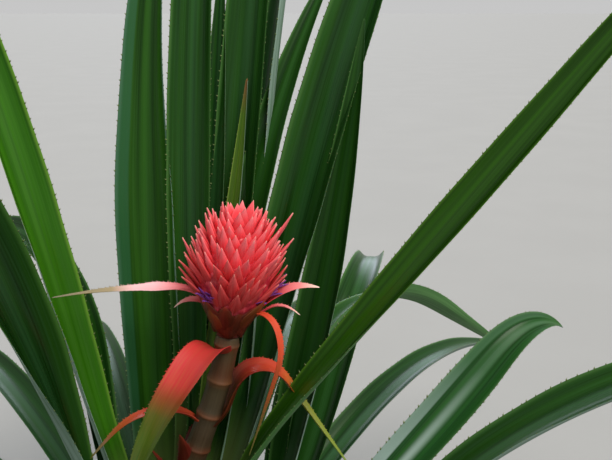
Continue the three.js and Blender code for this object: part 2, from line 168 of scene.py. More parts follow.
BRACT = dict(sweep=0, twist=0, foot_thickness=2.5, thickness=1.8, tip_thickness=0.7, keel=0, tooth=2.0,
             tooth_gap=4.5, wing=0.15, wave=0.8, fold=0.4, span=25)
STALK_BRACT = dict(BRACT, arch=(0.2, 0.8), neck=0.95, full_at=0.2, taper=1.2, tip_width=1.5)
STALK_BRACT_ROOT_DEPTH = 5.75
STALK_BRACT_SHEATH = 22
STALK_BRACTS = [
    dict(name="stalk_bract_1", at=0.92, heading=250, sweep=-42, leans=(49, 123, 152), length=231, width=44,
         full_at=0.42, taper=2, twist=12, look="red_to_green"),
    dict(name="stalk_bract_2", at=0.58, heading=201, sweep=-12, leans=(36, 79, 137), length=144, width=16,
         twist=-15, look="red_to_olive"),
    dict(name="stalk_bract_3", at=0.54, heading=10, leans=(47, -4, 147), arch=(0.14, 0.49), length=270,
         width=40, taper=0.8, twist=12, look="red_to_yellow"),
    dict(name="stalk_bract_4", at=0.34, heading=262, leans=(8, 14, 30), length=62, width=22, look="dark_red"),
    dict(name="stalk_bract_5", at=0.2, heading=190, leans=(8, 14, 30), length=70, width=24, look="dark_red"),
    dict(name="stalk_bract_6", at=0.3, heading=80, leans=(30, 60, 150), length=150, width=22, look="dark_red"),
]

COLLAR_BRACT = dict(BRACT, arch=(0.3, 1), neck=1, full_at=0.3, taper=1.5, tip_width=1.2, root_depth=5,
                    tooth=1.5, tooth_gap=3.5)
COLLAR_BRACTS = [
    dict(name="collar_bract_1", height=34, heading=191, leans=(52, 94, 104), length=156, width=14.5,
         twist=-42, full_at=0.34, taper=0.48, look="pink_to_dry"),
    dict(name="collar_bract_2", height=16, heading=326, leans=(33, 123, 191), arch=(0.09, 0.53), length=202,
         width=10, look="orange_to_olive"),
    dict(name="collar_bract_3", height=30, heading=352, leans=(56, 41, 89), length=77, width=14,
         twist=42, look="pink"),
    dict(name="collar_bract_4", height=24, heading=342, leans=(72, 45, 116), length=61, width=9, look="pink"),
    dict(name="collar_bract_5", height=21, heading=168, leans=(10, 84, 138), length=52, width=10,
         twist=-30, look="pink"),
    dict(name="collar_bract_6", height=20, heading=110, leans=(58, 80, 100), length=38, width=11, look="pink"),
    dict(name="collar_bract_7", height=13, heading=55, leans=(60, 90, 120), length=36, width=10, look="pink"),
    dict(name="collar_bract_8", height=26, heading=140, leans=(50, 62, 90), length=34, width=10, look="pink"),
]

HEAD_SHEATH_SHARE = 0.7
HEAD_BRACTS = dict(count=172, lowest=28, highest=119, leans=(38, 12), lean_curve=1.1, tip_lean=(0.8, 1.5),
                   lengths=(47, 20), widths=(16.5, 14.5), root_depth=4, seed=11, heading_play=4, lean_play=5,
                   length_play=0.2, painted_shade_steps=(0.18, 0.42))
HEAD_BRACT = dict(sweep=0, twist=0, arch=(0.3, 1), neck=1, full_at=0.3, taper=1.05, tip_width=0.4,
                  foot_thickness=2.0, thickness=1.8, tip_thickness=0.6, keel=2.2, wing=0, wave=0, fold=0,
                  span=14)

# Each is its height, heading, length and lean, and a broad bract's width comes last
LONG_SCALES = [(92, 350, 52, 27), (60, 186, 46, 33), (72, 8, 44, 34)]
LONG_SCALE_WIDTH = 11
BROAD_BRACTS = [(13, 320, 46, 35, 22), (9, 232, 34, 33, 20), (12, 20, 36, 34, 20)]

FUNNEL_BRACTS = dict(count=22, lowest=0.5, highest=20, leans=(23, 34), lengths=(33, 29), width=22,
                     root_depth=-0.6, play=0.14, seed=5, curl=6)
FUNNEL_BRACT = dict(HEAD_BRACT, keel=0.4, full_at=0.42, taper=1.5)

# Each place is a flower's height, heading, length and lean
FLOWERS = dict(
    places=[
        (42, 218, 22, 54), (39, 230, 20, 58), (44, 240, 17, 52), (44, 352, 37, 45), (42, 343, 29, 50),
        (40, 331, 15, 56), (46, 80, 26, 50), (40, 140, 24, 52),
    ],
    petals=3, first_petal=40, spread=8, rise=0.15, curl=3, clear_heading=13, clear_height=(-4, 10),
)
FLOWER_PETAL = dict(HEAD_BRACT, width=8, thickness=0.9, foot_thickness=1.2, keel=0.5, full_at=0.6, taper=2)


# Arithmetic on arrays

def smooth(x):
    """0 below 0, 1 above 1 and an S-shaped rise between."""
    x = np.clip(x, 0.0, 1.0)
    return x * x * (3.0 - 2.0 * x)


def mix(a, b, share):
    """a where share is 0, b where it is 1, and evenly between."""
    return a + (b - a) * share


def direction(heading, lean):
    """Unit vectors at a heading and a lean: sideways by the sine of the lean, upward by its cosine."""
    heading, lean = np.broadcast_arrays(np.radians(heading), np.radians(lean))
    return np.stack([np.sin(lean) * np.cos(heading), np.sin(lean) * np.sin(heading), np.cos(lean)], axis=-1)


def unit(vectors):
    """The same vectors at length 1."""
    return vectors / np.linalg.norm(vectors, axis=-1, keepdims=True)


# Surfaces: a part is its points, its faces with a material number each, and each point's place on its blade

def tubes(grid, first, last, place, material=0):
    """Closed tubes, one for each entry of grid, whose axes are tube, ring, column and coordinate. first and
    last are the points that close the two ends. Columns go clockwise round the way from first to last."""
    count, rings, columns, _ = grid.shape
    size = rings * columns + 2
    ring, column = np.meshgrid(np.arange(rings - 1), np.arange(columns), indexing="ij")
    following = (column + 1) % columns
    corner = ring * columns
    quads = np.stack([corner + column, corner + columns + column, corner + columns + following,
                      corner + following], axis=-1).reshape(-1, 4)
    column = np.arange(columns)
    following = (column + 1) % columns
    final = (rings - 1) * columns
    foot_fan = np.stack([np.full(columns, size - 2), column, following], axis=-1)
    tip_fan = np.stack([np.full(columns, size - 1), final + following, final + column], axis=-1)
    fans = np.concatenate([foot_fan, tip_fan])
    offsets = (np.arange(count) * size)[:, None, None]
    points = np.concatenate([grid.reshape(count, -1, 3), first[:, None], last[:, None]], axis=1)
    flat_place = place.reshape(count, -1, 3)
    ends = np.stack([flat_place[:, 0], flat_place[:, -1]], axis=1)
    return dict(
        points=points.reshape(-1, 3),
        faces=[(quads + offsets).reshape(-1, 4), (fans + offsets).reshape(-1, 3)],
        materials=[np.full(count * len(quads), material), np.full(count * len(fans), material)],
        place=np.concatenate([flat_place, ends], axis=1).reshape(-1, 3),
    )


def joined(parts):
    """Several parts as one, each one's faces counted on from the points before it."""
    starts = np.cumsum([0] + [len(part["points"]) for part in parts])
    return dict(
        points=np.concatenate([part["points"] for part in parts]),
        faces=[faces + start for part, start in zip(parts, starts) for faces in part["faces"]],
        materials=[numbers for part in parts for numbers in part["materials"]],
        place=np.concatenate([part["place"] for part in parts]),
    )


def add_piece(name, part, materials, nodes):
    """A part as an object at the origin that replaces those nodes. Its attribute blade holds, for each point,
    the place across and along its blade in metres, and the share of the blade's length. The place across is
    stretched to the blade's full span, so that stripes draw together where the blade narrows."""
    mesh = bpy.data.meshes.new(name)
    sizes = np.concatenate([np.full(len(faces), faces.shape[1]) for faces in part["faces"]])
    corners = np.concatenate([faces.ravel() for faces in part["faces"]])
    mesh.vertices.add(len(part["points"]))
    mesh.vertices.foreach_set("co", (part["points"] * MM).ravel())
    mesh.loops.add(len(corners))
    mesh.loops.foreach_set("vertex_index", corners)
    mesh.polygons.add(len(sizes))
    mesh.polygons.foreach_set("loop_start", np.concatenate([[0], np.cumsum(sizes)[:-1]]))
    mesh.polygons.foreach_set("material_index", np.concatenate(part["materials"]))
    mesh.polygons.foreach_set("use_smooth", np.ones(len(sizes), dtype=bool))
    mesh.update(calc_edges=True)
    attribute = mesh.attributes.new("blade", "FLOAT_VECTOR", "POINT")
    attribute.data.foreach_set("vector", (part["place"] * (MM, MM, 1)).ravel())
    for material in materials:
        mesh.materials.append(material)
    piece = bpy.data.objects.new(name, mesh)
    bpy.context.scene.collection.objects.link(piece)
    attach(piece, "root")
    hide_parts(*nodes)


# Blades, the one rule for every leaf and bract

def blade_frames(blade, shares):
    """The blade at those shares of its length. Its middle line adds up short steps along a direction whose
    heading sweeps evenly, and whose lean turns from the foot's to the risen lean and over the arch to the
    tip's. Each section has a way across and a way out of its channel, turned about the middle line by the
    twist."""
    foot_lean, risen_lean, tip_lean = blade["leans"]
    arch_from, arch_to = blade["arch"]
    heading = blade["heading"] + blade["sweep"] * shares
    lean = mix(foot_lean, risen_lean, smooth(shares / RISEN_AT))
    lean += (tip_lean - risen_lean) * smooth((shares - arch_from) / (arch_to - arch_from))
    along = direction(heading, lean)
    steps = np.diff(shares)[:, None] * blade["length"] * (along[1:] + along[:-1]) / 2
    middle = blade["root"] + np.concatenate([np.zeros((1, 3)), np.cumsum(steps, axis=0)])
    twist = np.radians(blade["twist"] * smooth((shares - TWIST_FROM) / TWIST_OVER))[:, None]
    level = direction(heading + 90, 90)
    across = level * np.cos(twist) + np.cross(along, level) * np.sin(twist)
    neck = blade["neck"] * blade["width"]
    widening = smooth((shares - NECK_AT) / (blade["full_at"] - NECK_AT))
    past_full = np.clip((shares - blade["full_at"]) / (1 - blade["full_at"]), 0, 1)
    tapering = past_full ** blade["taper"] * smooth(past_full / ROUNDED_OVER)
    width = mix(neck, mix(blade["width"], blade["tip_width"], tapering), widening)
    width = np.where(shares < NECK_AT, mix(blade["sheath"], neck, smooth(shares / NECK_AT)), width)
    body = mix(blade["foot_thickness"], blade["thickness"], smooth(shares / NECK_AT - 1))
    return dict(
        middle=middle, along=along, across=across, out=np.cross(along, across), width=width,
        half_turn=np.radians(mix(*CHANNEL, smooth(shares / CHANNEL_BY))),
        thickness=mix(body, blade["tip_thickness"], smooth((shares - THINS_FROM) / (1 - THINS_FROM))),
        shares=shares, distance=shares * blade["length"],
    )


def blade_points(blade, frames, v, over):
    """Points of a blade, station by station. Across a section v runs from -1 to 1 along an arc as long as the
    blade is wide, and over from -1, the back, to 1, the channel's floor, times half the thickness, to which a
    keel adds its share towards the middle of the back. Beyond two thirds of the way out the margin bends up
    into a wing, and it waves a little along its length. Shallow folds run along the blade, as a cosine
    over three half turns on each side of the middle."""
    turn = frames["half_turn"][:, None] * v
    radius = (frames["width"] / 2 / frames["half_turn"])[:, None]
    keel = 1 + blade["keel"] * (1 - np.abs(v)) * (over < 0)
    half = frames["thickness"][:, None] / 2 * over * keel
    margin = np.maximum(0, np.abs(v) - WING_FROM)
    rising = smooth(frames["shares"] / WINGED_BY)[:, None] * frames["width"][:, None] / 2
    short, long = [frames["distance"][:, None] / wave_length for wave_length in WAVE_LENGTHS]
    ripple = np.sin(short + WAVE_STEP * np.sign(v)) + np.sin(long)
    lift = blade["wing"] * rising * margin
    lift = lift + blade["wave"] * rising / HALF_WIDTH * ripple * margin
    lift = lift + blade["fold"] * rising / HALF_WIDTH * np.cos(3 * np.pi * v)
    sideways = ((radius - half) * np.sin(turn))[..., None]
    outward = (radius - (radius - half) * np.cos(turn) + lift)[..., None]
    return frames["middle"][:, None] + frames["across"][:, None] * sideways + frames["out"][:, None] * outward


def blade_part(blade, mesh_size, upper=0, under=0):
    """A blade as a closed tube: the columns go once round each section, crowded at its two edges."""
    stations, columns = mesh_size
    frames = blade_frames(blade, np.linspace(0, 1, stations))
    round_it = np.linspace(0, 2 * np.pi, columns, endpoint=False)
    v, over = -np.cos(round_it), np.sin(round_it)
    grid = blade_points(blade, frames, v, over)
    place = np.stack([
        np.broadcast_to(v * blade["span"] / 2, mesh_size),
        np.broadcast_to(frames["distance"][:, None] + blade["foot_mark"], mesh_size),
        np.broadcast_to(frames["shares"][:, None], mesh_size),
    ], axis=-1)
    tip = frames["middle"][-1] + frames["along"][-1] * blade["tip_width"]
    part = tubes(grid[None], frames["middle"][:1], tip[None], place[None], upper)
    back_columns = (over + np.roll(over, -1)) < 0
    part["materials"][0] = np.tile(np.where(back_columns, under, upper), stations - 1)
    return part, frames


def tooth_ring(ring, edge, outward, ahead, across, reach):
    """The four corners of one ring of each tooth: behind, to one side, before and to the other side."""
    centre = edge + reach * (ring["out"] * outward + ring["ahead"] * ahead)
    aside = ring["side"] * reach * across
    return np.stack([centre - ring["behind"] * reach * ahead, centre - aside,
                     centre + ring["before"] * reach * ahead, centre + aside], axis=1)


def tooth_parts(blade, frames, material):
    """The teeth of both margins: small four-sided cones on the edge, bent forward towards the tip, evenly
    spaced from the neck on, and smaller near both ends. Their sizes and places differ a little, by steps
    that don't repeat."""
    gap = blade["tooth_gap"] / blade["length"]
    shares = np.arange(TEETH["first"], TEETH["last"], gap)
    number = np.arange(len(shares))
    ending = smooth((shares - TEETH["shrink_from"]) / (1 - TEETH["shrink_from"]))
    size = blade["tooth"] * smooth((shares - TEETH["grown_from"]) / TEETH["grown_over"])
    size = size * mix(1, TEETH["end_size"], ending) * mix(*TEETH["sizes"], (number * TEETH["size_step"]) % 1)
    uneven = TEETH["place_play"] * ((number * TEETH["place_step"]) % 1 - 0.5)
    reach = size[:, None]
    parts = []
    for side in (-1.0, 1.0):
        edge_and_inner = blade_points(blade, frames, np.array([side, TEETH["inner"] * side]), np.zeros(2))
        at = np.clip(shares + gap * (TEETH["side_shift"] * side + uneven), 0, 1)
        edge, inner, ahead = [
            np.stack([np.interp(at, frames["shares"], line[:, axis]) for axis in range(3)], axis=-1)
            for line in (edge_and_inner[:, 0], edge_and_inner[:, 1], frames["along"])
        ]
        ahead = unit(ahead)
        outward = edge - inner
        outward = unit(outward - ahead * (outward * ahead).sum(axis=-1, keepdims=True))
        across = np.cross(ahead, outward)
        grid = np.stack([tooth_ring(ring, edge, outward, ahead, across, reach) for ring in TOOTH_RINGS], axis=1)
        foot = edge + reach * TOOTH_RINGS[0]["out"] * outward
        tip = edge + reach * (TOOTH_TIP["out"] * outward + TOOTH_TIP["ahead"] * ahead)
        place = np.broadcast_to(np.stack([
            np.full(len(at), side * blade["span"] / 2), at * blade["length"] + blade["foot_mark"], at,
        ], axis=-1)[:, None, None], grid.shape)
        parts.append(tubes(grid, foot, tip, place, material))
    return parts


# Stem, stalk and head core

def stem_radius(z):
    """A flared foot, then a trunk that narrows slowly at first and fast at the top."""
    flare = mix(STEM["flare_radius"], STEM["radius"], smooth(z / STEM["flare_height"]))
    up = np.clip((z - STEM["flare_height"]) / (STEM["height"] - STEM["flare_height"]), 0, 1)
    trunk = mix(STEM["radius"], STEM["top_radius"], up ** STEM["taper"])
    return np.where(z < STEM["flare_height"], flare, trunk)


def core_radius(z):
    """The head's outline: a quarter wave from its foot to its widest, and a rounded dome above."""
    up = np.clip(z / HEAD["height"], 0, 1)
    rise = np.sin(np.clip(up / HEAD["widest_at"], 0, 1) * np.pi / 2) ** HEAD["foot_curve"]
    over = np.clip((up - HEAD["widest_at"]) / (1 - HEAD["widest_at"]), 0, 1)
    below = mix(HEAD["foot_radius"], HEAD["radius"], rise)
    return np.where(up < HEAD["widest_at"], below, HEAD["radius"] * np.sqrt(1 - over ** HEAD["top_curve"]))


def from_head(points):
    """Points of the head's own upright frame in the plant's: tipped to the right and set on the stalk."""
    lean = radians(HEAD["lean"])
    x, y, z = np.moveaxis(points, -1, 0)
    tipped = np.stack([x * cos(lean) + z * sin(lean), y, z * cos(lean) - x * sin(lean)], axis=-1)
    return tipped + HEAD["base"]


HEAD_AXIS = direction(0.0, HEAD["lean"])
STALK_TOP = np.array(HEAD["base"]) - CLEARANCE * HEAD_AXIS


def stalk_line(shares):
    """The stalk's middle line and its direction: a cubic curve that leaves the stem at its foot's lean and
    meets the head along the head's axis."""
    foot = np.array(STALK["foot"], dtype=float)
    reach = np.linalg.norm(STALK_TOP - foot) / 3
    a, b = foot + reach * direction(0.0, STALK["foot_lean"]), STALK_TOP - reach * HEAD_AXIS
    t = np.atleast_1d(shares)[:, None]
    line = (1 - t) ** 3 * foot + 3 * (1 - t) ** 2 * t * a + 3 * (1 - t) * t ** 2 * b + t ** 3 * STALK_TOP
    ahead = (1 - t) ** 2 * (a - foot) + 2 * (1 - t) * t * (b - a) + t ** 2 * (STALK_TOP - b)
    return line, unit(ahead)


def turned_part(line, ahead, side, radii):
    """A surface round a line: at each station a ring whose radius, in the columns of radii, lies across the
    line, clockwise from the way called side."""
    turn = np.linspace(0, 2 * np.pi, radii.shape[1], endpoint=False)
    front = np.cross(side, ahead)
    ring = side[:, None] * np.cos(turn)[None, :, None] + front[:, None] * np.sin(turn)[None, :, None]
    grid = line[:, None] + ring * radii[..., None]
    distance = np.concatenate([[0], np.cumsum(np.linalg.norm(np.diff(line, axis=0), axis=-1))])
    place = np.stack([
        np.broadcast_to(turn * radii.mean(), radii.shape),
        np.broadcast_to(distance[:, None], radii.shape),
        np.broadcast_to((distance / distance[-1])[:, None], radii.shape),
    ], axis=-1)
    return tubes(grid[None], line[:1], line[-1:], place[None])


def upright_part(z, radii):
    """A surface round the upright line through the origin, with a ring at each height z."""
    line = np.stack([0 * z, 0 * z, z], axis=-1)
    ahead = np.broadcast_to((0.0, 0.0, 1.0), line.shape)
    side = np.broadcast_to((1.0, 0.0, 0.0), line.shape)
    return turned_part(line, ahead, side, radii)


# Materials

def linear(hex_color):
    """An sRGB colour such as "#c8323a" as linear red, green, blue and alpha."""
    parts = [int(hex_color[i:i + 2], 16) / 255 for i in (1, 3, 5)]
    return (*[c / 12.92 if c <= 0.04045 else ((c + 0.055) / 1.055) ** 2.4 for c in parts], 1.0)


# The sockets of a colour mix, and the way a range eases in and out
FACTOR, COLOR_A, COLOR_B, MIXED = 0, 6, 7, 2
EASED = "SMOOTHSTEP"

# Cells of noise a metre, across and along a blade: fibres and veins 1.1 mm apart and 200 or 50 mm long, stripes
# 9 mm apart, and lines of scales 1.25 mm apart
FIBRES = (900, 5, 0)
STRIPES = (110, 1.6, 0)
SCALE_LINES = (800, 6, 0)
VEINS = (900, 20, 0)

# Places across a leaf, in metres from its middle, where the middle band, the one wing's painted sky light and
# the margins lie
BAND = (0.0, 0.008)
LIT_WING = (0.0145, 0.0165)
MARGIN = (0.0215, 0.0245)

# The leaf's cuticle reflects less than wax does, so that its greens stay deep under a white sky
LEAF_IOR = 1.27
PALE_FOOT = "#7f8c52"


def set_input(tree, node, name, value):
    """Sets a node's input to a value, to a hex colour or to another node's output."""
    if isinstance(value, bpy.types.NodeSocket):
        tree.links.new(value, node.inputs[name])
    else:
        node.inputs[name].default_value = linear(value) if isinstance(value, str) else value


def add_node(tree, kind, inputs=None, stops=None, **settings):
    """Adds a node with its settings and inputs. Stops are the places and hex colours of a colour ramp."""
    node = tree.nodes.new(kind)
    for name, value in settings.items():
        setattr(node, name, value)
    for name, value in (inputs or {}).items():
        set_input(tree, node, name, value)
    if stops:
        elements = node.color_ramp.elements
        elements.remove(elements[0])
        elements[0].position, elements[0].color = stops[0][0], linear(stops[0][1])
        for place, color in stops[1:]:
            elements.new(place).color = linear(color)
    return node


def color_mix(tree, share, a, b):
    """Colour a turned to b by the share."""
    inputs = {FACTOR: share, COLOR_A: a, COLOR_B: b}
    return add_node(tree, "ShaderNodeMix", inputs, data_type="RGBA").outputs[MIXED]


def map_range(tree, value, low, high, at_low=0.0, at_high=1.0, way="LINEAR"):
    """The value drawn out so that it is at_low up to low, and at_high from high on."""
    inputs = {0: value, 1: low, 2: high, 3: at_low, 4: at_high}
    return add_node(tree, "ShaderNodeMapRange", inputs, interpolation_type=way).outputs[0]


def blade_noise(tree, blade, cells, detail):
    """Noise with so many cells a metre across and along a blade."""
    place = add_node(tree, "ShaderNodeVectorMath", {0: blade, 1: cells}, operation="MULTIPLY").outputs[0]
    return add_node(tree, "ShaderNodeTexNoise", {"Vector": place, "Scale": 1.0, "Detail": detail}).outputs[0]


def finish(tree, shader, color, roughness, relief, strength, depth):
    """Gives a shader its colour and roughness, and a relief that is so many metres deep."""
    bump = add_node(tree, "ShaderNodeBump", {"Height": relief, "Strength": strength, "Distance": depth})
    for name, value in {"Base Color": color, "Roughness": roughness, "Normal": bump.outputs[0]}.items():
        set_input(tree, shader, name, value)


def new_material(name):
    """A material with its tree and its shader."""
    material = bpy.data.materials.new(name)
    material.use_nodes = True
    tree = material.node_tree
    tree.nodes.clear()
    shader = add_node(tree, "ShaderNodeBsdfPrincipled")
    add_node(tree, "ShaderNodeOutputMaterial", {"Surface": shader.outputs[0]})
    return material, tree, shader


def blade_values(tree):
    """The attribute blade as one vector, and as its places across, along and by share."""
    blade = add_node(tree, "ShaderNodeAttribute", attribute_name="blade").outputs["Vector"]
    return blade, *add_node(tree, "ShaderNodeSeparateXYZ", {0: blade}).outputs


def leaf_face(name, deep, lit, bloom, edge, wing=None, tip="#7a5b34", painted_sheen=None):
    """The channelled face of a living leaf: a waxy cuticle over green tissue. It looks satin, with fine
    lengthwise fibres, broad darker and lighter stripes, a paler band along the middle, which is partly the
    leaf's own paler channel and partly a painted sky sheen, paler margins, a pale foot and a dry brown tip.
    One wing may have a bluish colour, which is painted sky light on the lifted margin, and a painted silvery
    sheen, a reflection of the sky, may lie on the middle and that wing over the lower half of the leaf."""
    material, tree, shader = new_material(name)
    blade, across, _, share = blade_values(tree)
    fibres = blade_noise(tree, blade, FIBRES, 2.0)
    stripes = blade_noise(tree, blade, STRIPES, 1.0)
    from_middle = add_node(tree, "ShaderNodeMath", {0: across}, operation="ABSOLUTE").outputs[0]
    # Painted sheen: a silvery reflection of the sky, strongest low on the leaf and fading out towards the tip
    painted_sheen_fade = map_range(tree, share, 0.5, 0.76, 1.0, 0.12) if painted_sheen else None
    color = color_mix(tree, map_range(tree, stripes, 0.35, 0.65), deep, lit)
    color = color_mix(tree, map_range(tree, fibres, 0.35, 0.75, 0.0, 0.3), color, bloom)
    # The paler middle band is partly the leaf's own paler channel and partly a painted sky sheen
    band = map_range(tree, from_middle, *BAND, painted_sheen_fade or 0.3, 0.0, EASED)
    color = color_mix(tree, band, color, painted_sheen or bloom)
    color = color_mix(tree, map_range(tree, from_middle, *MARGIN, 0.0, 0.7, EASED), color, edge)
    # Painted light: the one wing's bluish colour stands for sky light falling on the lifted margin
    if wing:
        color = color_mix(tree, map_range(tree, across, *LIT_WING, 0.0, painted_sheen_fade or 0.8, EASED), color, wing)
    color = color_mix(tree, map_range(tree, share, 0.05, 0.2, 0.85, 0.0), color, PALE_FOOT)
    color = color_mix(tree, map_range(tree, share, 0.93, 0.985), color, tip)
    finish(tree, shader, color, map_range(tree, stripes, 0.3, 0.7, 0.25, 0.42), fibres, 0.25, 0.0004)
    shader.inputs["IOR"].default_value = LEAF_IOR
    return material


def leaf_back(name, scurf, green):
    """The underside of a leaf: dry silvery scales in lines between green veins. It looks matt and bluish white,
    or green where the scales are few, and finely ruled along the leaf."""
    material, tree, shader = new_material(name)
    lines = blade_noise(tree, blade_values(tree)[0], SCALE_LINES, 3.0)
    color = color_mix(tree, map_range(tree, lines, 0.35, 0.6), green, scurf)
    finish(tree, shader, color, 0.62, lines, 0.4, 0.0005)
    return material


def bract_skin(name, stops, vein="#ff9a92", roughness=0.42):
    """A waxy bract, satin, whose colour turns along its length, with fine paler veins along it."""
    material, tree, shader = new_material(name)
    blade, _, _, share = blade_values(tree)
    turning = add_node(tree, "ShaderNodeValToRGB", {0: share}, stops=stops).outputs[0]
    veins = blade_noise(tree, blade, VEINS, 2.0)
    color = color_mix(tree, map_range(tree, veins, 0.35, 0.7, 0.0, 0.22), turning, vein)
    finish(tree, shader, color, roughness, veins, 0.3, 0.0003)
    return material


def plain_skin(name, color, pale, roughness, grain=400.0):
    """A surface of one colour, mottled towards a paler one by a fine grain: so many cells a metre. It looks
    matt where it is rough, as a fibrous stem, and hard with a faint shine where it is less so, as a tooth."""
    material, tree, shader = new_material(name)
    place = add_node(tree, "ShaderNodeTexCoord").outputs["Object"]
    mottle = add_node(tree, "ShaderNodeTexNoise", {"Vector": place, "Scale": grain, "Detail": 3.0}).outputs[0]
    tint = color_mix(tree, map_range(tree, mottle, 0.4, 0.75, 0.0, 0.5), color, pale)
    finish(tree, shader, tint, roughness, mottle, 0.2, 0.0003)
    return material


LEAF_FACES = {
    "mature": leaf_face("waxy leaf, mature green", "#0a2d00", "#1f4d09", "#3a6a3c", "#4d7a3c"),
    "whole": leaf_face("waxy leaf, mature green to its tip", "#0a2d00", "#1f4d09", "#335f30", "#4d7a3c",
                       tip="#2c5220"),
    # Painted shade: a darker copy of the mature green, for a leaf that lies in shade
    "shaded": leaf_face("waxy leaf, mature green in painted shade", "#062200", "#163c04", "#2c5430", "#44702e"),
    # Painted reflection: a silvery sky sheen along the middle and on one wing, low on the leaf
    "silvered": leaf_face("waxy leaf with a silvery sheen", "#123c0c", "#245a1c", "#3c6c48", "#567e4c",
                          "#8ea69e", tip="#34602c", painted_sheen="#9cb2aa"),
    "olive": leaf_face("waxy leaf, olive green", "#143400", "#275403", "#386420", "#4f7d22"),
    # Painted light: a bluish colour on one wing for the sky light on its lifted margin
    "winged": leaf_face("waxy leaf with painted sky light on one wing", "#103600", "#285a05", "#386a2c", "#86aa98", "#2c5e3a"),
    "bright": leaf_face("waxy leaf, bright green", "#1c4d00", "#357206", "#4a7c30", "#6f9f36"),
    "young": leaf_face("waxy leaf, young yellow green", "#365a0c", "#587f1c", "#7c9444", "#8ba84a"),
    "old": leaf_face("waxy leaf, old dark green", "#0c2e03", "#1d4a10", "#3a6244", "#456c3c"),
}
LEAF_BACKS = {
    "mature": leaf_back("silvery scaled leaf back", "#8fa89c", "#3f6447"),
    "old": leaf_back("silvery scaled old leaf back", "#7a9084", "#315338"),
    "green": leaf_back("green leaf back with few scales", "#4f7f42", "#2c5c22"),
}
TOOTH = plain_skin("horny leaf tooth", "#64783f", "#9ca878", 0.45)
BRACT_SKINS = {
    "red_to_green": bract_skin("red bract turning green", [
        (0, "#b01a1e"), (0.16, "#cc2a36"), (0.36, "#c4262c"), (0.43, "#8c3410"), (0.51, "#4c540a"),
        (0.62, "#3a6004"), (1, "#2c4a06")], "#a8803a"),
    "red_to_olive": bract_skin("red bract turning olive", [
        (0, "#a82820"), (0.45, "#c43424"), (0.7, "#a04a10"), (0.85, "#6c5c10"), (1, "#5c6a1c")], "#c08a4a"),
    # Painted shade: the darkest reds at the foot stand for the shade under the bract's own arch and beside the
    # stalk
    "red_to_yellow": bract_skin("dark red bract turning yellow green", [
        (0, "#4a0804"), (0.22, "#5c0c08"), (0.31, "#b82824"), (0.42, "#c83c28"), (0.5, "#c06418"),
        (0.58, "#84900c"), (1, "#6c9018")], "#b8803a"),
    "dark_red": bract_skin("dark red bract", [(0, "#3a0804"), (0.6, "#6a1610"), (1, "#8a3420")], "#a04a38"),
    "pink_to_dry": bract_skin("pink bract with a dry tip", [
        (0, "#d8323c"), (0.2, "#f0606a"), (0.38, "#f6b4bc"), (0.5, "#f2b8bc"), (0.64, "#8c7a44"),
        (1, "#5c5a30")], "#fff0f0"),
    "orange_to_olive": bract_skin("orange red bract turning olive", [
        (0, "#c8321c"), (0.4, "#e04a2a"), (0.6, "#b8501e"), (0.75, "#7a5a1a"), (1, "#5f6a24")], "#c88a5a"),
    "pink": bract_skin("pink bract with a pale tip", [
        (0, "#c8283a"), (0.4, "#ea4a58"), (0.75, "#f28a8c"), (1, "#ffe0d0")]),
}
# Painted shade: the lower scales take the darker reds, the shade under the dome, and the upper ones the coral
HEAD_SKINS = [
    bract_skin("scale bract in deep painted shade", [(0, "#8e1014"), (0.5, "#c22028"), (0.9, "#e0484c"), (1, "#ec8c80")]),
    bract_skin("scale bract in light painted shade", [(0, "#b01420"), (0.5, "#e03038"), (0.9, "#f25a60"), (1, "#f49488")]),
    bract_skin("coral scale bract", [(0, "#d42436"), (0.5, "#fa4654"), (0.9, "#ff727c"), (1, "#ffa8a0")]),
    bract_skin("brownish red funnel bract", [
        (0, "#3c1206"), (0.5, "#481404"), (0.8, "#64200c"), (1, "#a83428")], "#8a3a20"),
    bract_skin("brownish orange funnel bract", [
        (0, "#481404"), (0.5, "#64280a"), (0.85, "#743a0e"), (1, "#8a3c20")], "#9a5a2a"),
]
FUNNEL_TONE = 3
BROAD_TONE = 4
FRUITLET = bract_skin("fleshy fruitlet", [
    (0, "#3c1208"), (0.2, "#4a1408"), (0.3, "#a01a28"), (1, "#d8303e")], "#f07080", 0.38)
PETAL = bract_skin("violet petal", [
    (0, "#c84a6a"), (0.5, "#d0507e"), (0.62, "#8c2c90"), (0.8, "#6a1f96"), (1, "#7430a0")], "#d4a0e0")
STALK_SKIN = bract_skin("brownish fleshy stalk", [
    (0, "#2c1e12"), (0.3, "#3c2c1a"), (0.44, "#40301e"), (0.47, "#5c3018"), (0.5, "#40301e"),
    (0.62, "#463a2a"), (0.635, "#6a3c20"), (0.66, "#443a2a"), (0.77, "#403620"), (0.8, "#6e4426"),
    (0.83, "#5a321a"), (0.88, "#54341c"), (0.93, "#4c3a20"), (0.96, "#6a3a1e"), (0.98, "#544028"),
    (1, "#54462c")], "#6c5c44", 0.5)
STEM_SKIN = plain_skin("fibrous stem", "#4c3a24", "#8a7350", 0.8, 250.0)


# Leaves and bracts

def add_blade(blade, mesh_size, materials):
    """A leaf or a bract as one piece, with its channelled face, its back and its teeth."""
    part, frames = blade_part(blade, mesh_size, upper=0, under=1)
    nodes = [blade["name"]] + ([blade["name"] + "_end"] if blade.get("folded") else [])
    whole = joined([part, *tooth_parts(blade, frames, 2)])
    add_piece(blade["name"] + "_blade", whole, materials, nodes)


